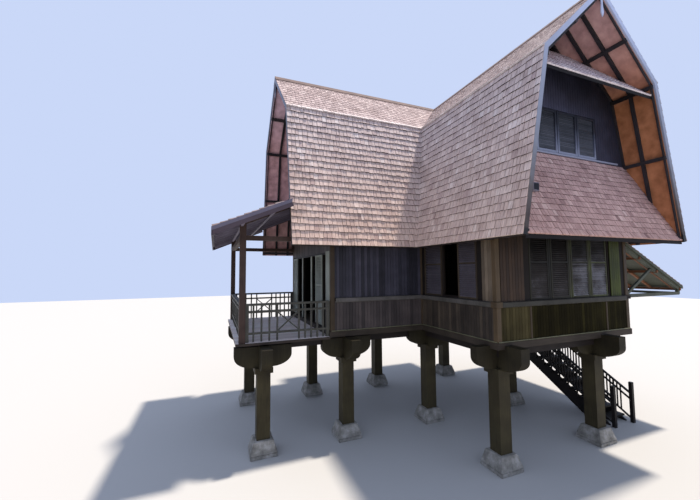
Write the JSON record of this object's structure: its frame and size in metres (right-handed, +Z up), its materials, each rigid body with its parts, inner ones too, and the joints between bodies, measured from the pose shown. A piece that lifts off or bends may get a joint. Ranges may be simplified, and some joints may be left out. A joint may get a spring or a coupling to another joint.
{
  "type": "stilt house",
  "caption": "Timber stilt house on stone plinths: front block and wing under bent gable roofs, open veranda, side stair under a lean-to.",
  "frame": {"origin": "on the ground, under the middle of the house's bounding box", "axes": "+Z up, +X to the right along the front wall, +Y from the front wall to the back"},
  "size_m": [13.33, 9.86, 11.0155],
  "materials": {
    "stone": "rough cut grey stone",
    "post_timber": "dark stained hardwood, matt",
    "frame_timber": "dark stained timber, matt",
    "wall_timber": "dark stained boards, satin",
    "shutter_timber": "dark stained joinery, satin",
    "shingle": "weathered wooden shingles, matt",
    "barge_paint": "grey-blue painted board, satin",
    "floor_boards": "oiled boards",
    "deck_boards": "weathered grey boards",
    "rail_timber": "weathered stained timber",
    "stair_timber": "near-black stained timber"
  },
  "bodies": {
    "root": {"post_bent_veranda": "post_timber", "plinth_veranda_1": "stone", "plinth_veranda_2": "stone", "post_bent_wing": "post_timber", "plinth_wing_1": "stone", "plinth_wing_2": "stone", "post_bent_left": "post_timber", "plinth_left_1": "stone", "plinth_left_2": "stone", "plinth_left_3": "stone", "post_bent_right": "post_timber", "plinth_right_1": "stone", "plinth_right_2": "stone", "plinth_right_3": "stone", "floor_frame": "frame_timber", "main_floor": "floor_boards", "attic_floor": "floor_boards", "veranda_deck": "deck_boards", "front_wall": "wall_timber", "back_wall": "wall_timber", "left_wall": "wall_timber", "right_wall": "wall_timber", "wing_far_wall": "wall_timber", "wing_near_wall": "wall_timber", "wing_end_wall": "wall_timber", "front_shutters": "shutter_timber", "back_shutters": "shutter_timber", "front_gable_windows": "shutter_timber", "back_gable_windows": "shutter_timber", "left_shutters": "shutter_timber", "right_shutters": "shutter_timber", "folding_doors": "shutter_timber", "entry_door": "shutter_timber", "roof_front_left": "shingle", "roof_back_left": "shingle", "roof_right": "shingle", "roof_wing_near": "shingle", "roof_wing_far": "shingle", "front_apron": "shingle", "front_hood": "shingle", "back_apron": "shingle", "back_hood": "shingle", "bargeboards_front": "barge_paint", "bargeboards_back": "barge_paint", "bargeboards_wing": "barge_paint", "ridge_cap_front": "shingle", "ridge_cap_wing": "shingle", "veranda_frame": "frame_timber", "veranda_roof": "shingle", "veranda_railing_near": "rail_timber", "veranda_railing_far": "rail_timber", "veranda_railing_end": "rail_timber", "stair_flight": "stair_timber", "stair_railing_outer": "stair_timber", "stair_railing_inner": "stair_timber", "entry_landing": "stair_timber", "canopy_roof": "shingle", "canopy_frame": "frame_timber"}
  },
  "joints": []
}
